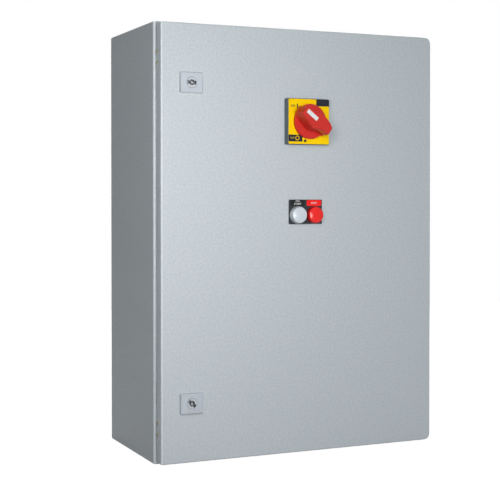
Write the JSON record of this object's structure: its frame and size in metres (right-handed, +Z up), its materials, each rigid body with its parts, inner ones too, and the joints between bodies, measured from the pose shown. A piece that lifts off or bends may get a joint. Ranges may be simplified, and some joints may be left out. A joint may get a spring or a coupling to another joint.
{
  "type": "magnetic motor starter",
  "caption": "Wall-mounted motor starter in a grey steel enclosure with a hinged locking door, a red and yellow rotary switch handle, and white and red push buttons.",
  "frame": {"origin": "centre of the enclosure's back, on the wall plane", "axes": "+X to the right seen from the front, +Y back into the wall, +Z up"},
  "size_m": [0.5, 0.2969, 0.7],
  "materials": {
    "enclosure_paint": "textured light grey powder coat",
    "zinc_plated_steel": "galvanised or zinc plated",
    "bare_steel": "bright turned and stamped steel",
    "gasket_foam": "closed foam, dull",
    "handle_housing_plastic": "dark grey moulded plastic",
    "yellow_plastic": "signal yellow moulded plastic",
    "red_plastic": "signal red moulded plastic",
    "white_plastic": "white moulded plastic",
    "black_plastic": "black moulded plastic",
    "device_grey": "grey moulded plastic",
    "overload_plastic": "dark grey moulded plastic",
    "cream_plastic": "off-white moulded plastic",
    "copper_winding": "enamelled copper winding",
    "bare_copper": "bare copper bar",
    "blue_plastic": "blue moulded plastic"
  },
  "bodies": {
    "enclosure": {"enclosure_shell": "enclosure_paint", "gland_plate": "enclosure_paint", "mounting_plate": "zinc_plated_steel", "mounting_rail": "zinc_plated_steel", "upper_hinge_leaf": "bare_steel", "lower_hinge_leaf": "bare_steel", "upper_hinge_pin": "bare_steel", "lower_hinge_pin": "bare_steel", "contactor_core": "bare_steel", "gland_gasket": "gasket_foam", "breaker_body": "white_plastic", "contactor_base": "black_plastic", "power_conductor_1": "black_plastic", "power_conductor_2": "black_plastic", "power_conductor_3": "black_plastic", "switch_body": "device_grey", "wiring_duct": "device_grey", "duct_cover": "device_grey", "terminal_1": "device_grey", "terminal_2": "device_grey", "terminal_3": "device_grey", "terminal_4": "device_grey", "terminal_5": "device_grey", "overload_body": "overload_plastic", "contactor_housing": "cream_plastic", "contactor_coil": "copper_winding", "earth_bar": "bare_copper"},
    "door": {"door_panel": "enclosure_paint", "door_gasket": "gasket_foam", "upper_hinge_block": "zinc_plated_steel", "lower_hinge_block": "zinc_plated_steel", "upper_lock_housing": "enclosure_paint", "lower_lock_housing": "enclosure_paint", "upper_lock_nut": "zinc_plated_steel", "lower_lock_nut": "zinc_plated_steel", "handle_housing": "handle_housing_plastic", "handle_nut": "black_plastic", "handle_face_plate": "yellow_plastic", "start_legend_holder": "handle_housing_plastic", "stop_legend_holder": "handle_housing_plastic", "start_button_collar": "white_plastic", "stop_button_collar": "red_plastic", "start_contact_block": "device_grey", "stop_contact_block": "device_grey"},
    "upper_lock": {"upper_lock_insert": "bare_steel", "upper_lock_cam": "bare_steel"},
    "lower_lock": {"lower_lock_insert": "bare_steel", "lower_lock_cam": "bare_steel"},
    "handle": {"handle_knob": "red_plastic", "handle_socket": "black_plastic"},
    "switch_shaft": {"switch_shaft": "bare_steel"},
    "start_button": {"start_button_cap": "white_plastic"},
    "stop_button": {"stop_button_cap": "red_plastic"},
    "contactor_magnet": {"contactor_armature": "bare_steel", "contactor_carrier": "cream_plastic"},
    "overload_reset": {"overload_reset": "blue_plastic"},
    "overload_dial": {"overload_dial": "white_plastic"},
    "breaker_toggle": {"breaker_toggle": "black_plastic"}
  },
  "joints": [
    {"name": "door_hinge", "type": "hinge", "parent": "enclosure", "child": "door", "pos_m": [0.2406, -0.2344, 0], "axis": [0, 0, 1], "range_deg": [0, 110]},
    {"name": "upper_lock_turn", "type": "hinge", "parent": "door", "child": "upper_lock", "pos_m": [-0.1965, -0.25, 0.2525], "axis": [0, -1, 0], "range_deg": [0, 90]},
    {"name": "lower_lock_turn", "type": "hinge", "parent": "door", "child": "lower_lock", "pos_m": [-0.1965, -0.25, -0.2525], "axis": [0, -1, 0], "range_deg": [0, 90]},
    {"name": "handle_turn", "type": "hinge", "parent": "door", "child": "handle", "pos_m": [0.0042, -0.25, 0.1954], "axis": [0, -1, 0], "range_deg": [0, 90]},
    {"name": "switch_shaft_turn", "type": "hinge", "parent": "enclosure", "child": "switch_shaft", "pos_m": [0.0042, -0.25, 0.1954], "axis": [0, -1, 0], "range_deg": [0, 90]},
    {"name": "start_press", "type": "slide", "parent": "door", "child": "start_button", "axis": [0, 1, 0], "range_m": [0, 0.003], "stiffness_N_per_m": 500, "springref_m": -0.002},
    {"name": "stop_press", "type": "slide", "parent": "door", "child": "stop_button", "axis": [0, 1, 0], "range_m": [0, 0.003], "stiffness_N_per_m": 500, "springref_m": -0.002},
    {"name": "magnet_pull_in", "type": "slide", "parent": "enclosure", "child": "contactor_magnet", "axis": [0, 1, 0], "range_m": [0, 0.006], "stiffness_N_per_m": 1500, "springref_m": -0.006},
    {"name": "overload_reset_press", "type": "slide", "parent": "enclosure", "child": "overload_reset", "axis": [0, 1, 0], "range_m": [0, 0.003], "stiffness_N_per_m": 400, "springref_m": -0.002},
    {"name": "overload_dial_turn", "type": "hinge", "parent": "enclosure", "child": "overload_dial", "pos_m": [0, -0.12, -0.125], "axis": [0, -1, 0], "range_deg": [-135, 135]},
    {"name": "breaker_toggle_throw", "type": "hinge", "parent": "enclosure", "child": "breaker_toggle", "pos_m": [-0.165, -0.0775, -0.285], "axis": [1, 0, 0], "range_deg": [0, 76]}
  ],
  "couplings": [
    {"joint": "switch_shaft_turn", "follows": "handle_turn", "ratio": 1}
  ]
}
